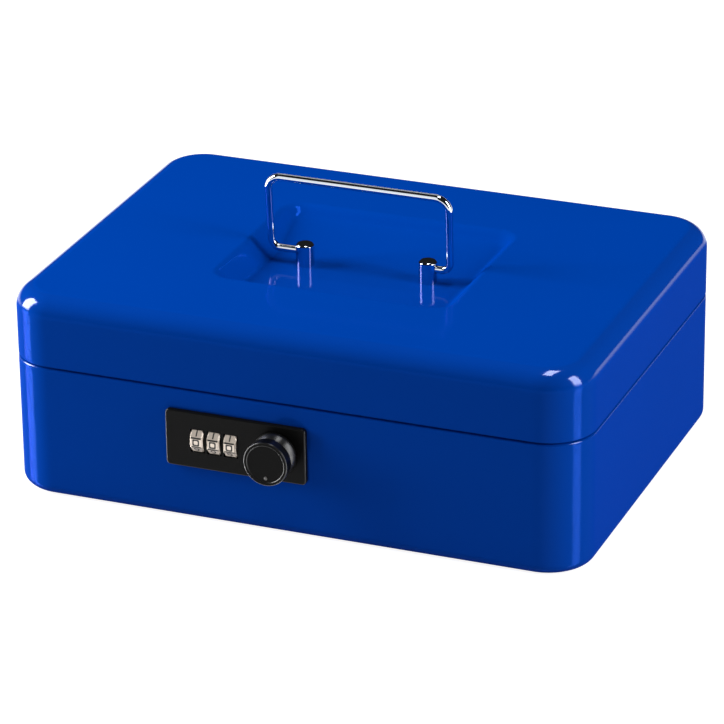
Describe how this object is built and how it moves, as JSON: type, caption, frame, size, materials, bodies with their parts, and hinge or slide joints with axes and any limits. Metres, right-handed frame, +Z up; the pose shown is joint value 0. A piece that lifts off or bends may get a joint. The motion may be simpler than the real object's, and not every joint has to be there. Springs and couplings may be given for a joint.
{
  "type": "cash box",
  "caption": "Steel cash box with rounded corners, hinged lid, folding bail handle in a recess, combination lock with number wheels and turning knob, and a lift-out coin tray.",
  "frame": {"origin": "centre of the box's underside, under the middle of the lid", "axes": "+X to the right along the front, +Y to the back, where the hinge is, +Z up"},
  "size_m": [0.25, 0.1962, 0.1197],
  "materials": {
    "blue_paint": "gloss blue enamel",
    "chrome": "bright chrome plate",
    "black_gloss": "gloss black",
    "index_white": "white paint fill",
    "nickel": "satin nickel with dark figures",
    "zinc": "die-cast zinc",
    "steel": "zinc-plated steel",
    "black_plastic": "matt black moulding"
  },
  "bodies": {
    "body": {"body_shell": "blue_paint", "tray_ledge_left": "blue_paint", "tray_ledge_right": "blue_paint", "hinge_leaf_body": "blue_paint", "hinge_pin": "steel", "lock_plate": "black_gloss", "lock_housing": "zinc", "lock_cover": "zinc", "lock_screws": "steel", "detent_spring": "steel"},
    "lid": {"lid_shell": "blue_paint", "hinge_leaf_lid": "blue_paint", "lid_striker": "blue_paint", "handle_post_left": "chrome", "handle_post_right": "chrome", "post_washers": "steel", "post_nuts": "steel"},
    "handle": {"handle_bail": "chrome"},
    "wheel_1": {"number_wheel_1": "nickel", "wheel_sleeve_1": "zinc"},
    "wheel_2": {"number_wheel_2": "nickel", "wheel_sleeve_2": "zinc"},
    "wheel_3": {"number_wheel_3": "nickel", "wheel_sleeve_3": "zinc"},
    "knob": {"knob": "black_gloss", "knob_index": "index_white", "knob_spindle": "steel", "scroll_cam": "zinc", "latch_cam": "steel", "cam_nut": "steel"},
    "bolt": {"toothed_bolt": "steel", "follower_pin": "steel"},
    "tray": {"coin_tray": "black_plastic"},
    "lever": {"reset_lever": "black_plastic"}
  },
  "joints": [
    {"name": "lid_hinge", "type": "hinge", "parent": "body", "child": "lid", "pos_m": [0, 0.0907, 0.058], "axis": [-1, 0, 0], "range_deg": [0, 105]},
    {"name": "handle_swing", "type": "hinge", "parent": "lid", "child": "handle", "pos_m": [0, 0, 0.08545], "axis": [-1, 0, 0], "range_deg": [-92, 94]},
    {"name": "wheel_1_turn", "type": "hinge", "parent": "body", "child": "wheel_1", "pos_m": [-0.0375, -0.0882, 0.0368], "axis": [1, 0, 0], "continuous": true},
    {"name": "wheel_2_turn", "type": "hinge", "parent": "body", "child": "wheel_2", "pos_m": [-0.0302, -0.0882, 0.0368], "axis": [1, 0, 0], "continuous": true},
    {"name": "wheel_3_turn", "type": "hinge", "parent": "body", "child": "wheel_3", "pos_m": [-0.0229, -0.0882, 0.0368], "axis": [1, 0, 0], "continuous": true},
    {"name": "knob_turn", "type": "hinge", "parent": "body", "child": "knob", "pos_m": [-0.0033, -0.0925, 0.0368], "axis": [0, 1, 0], "range_deg": [0, 90]},
    {"name": "bolt_slide", "type": "slide", "parent": "body", "child": "bolt", "axis": [-1, 0, 0], "range_m": [0, 0.0033]},
    {"name": "tray_lift", "type": "slide", "parent": "body", "child": "tray", "axis": [0, 0, 1], "range_m": [0, 0.013]},
    {"name": "reset_slide", "type": "slide", "parent": "body", "child": "lever", "axis": [1, 0, 0], "range_m": [0, 0.003]}
  ],
  "couplings": [
    {"joint": "bolt_slide", "follows": "knob_turn", "m_per_rad": 0.0020372}
  ]
}
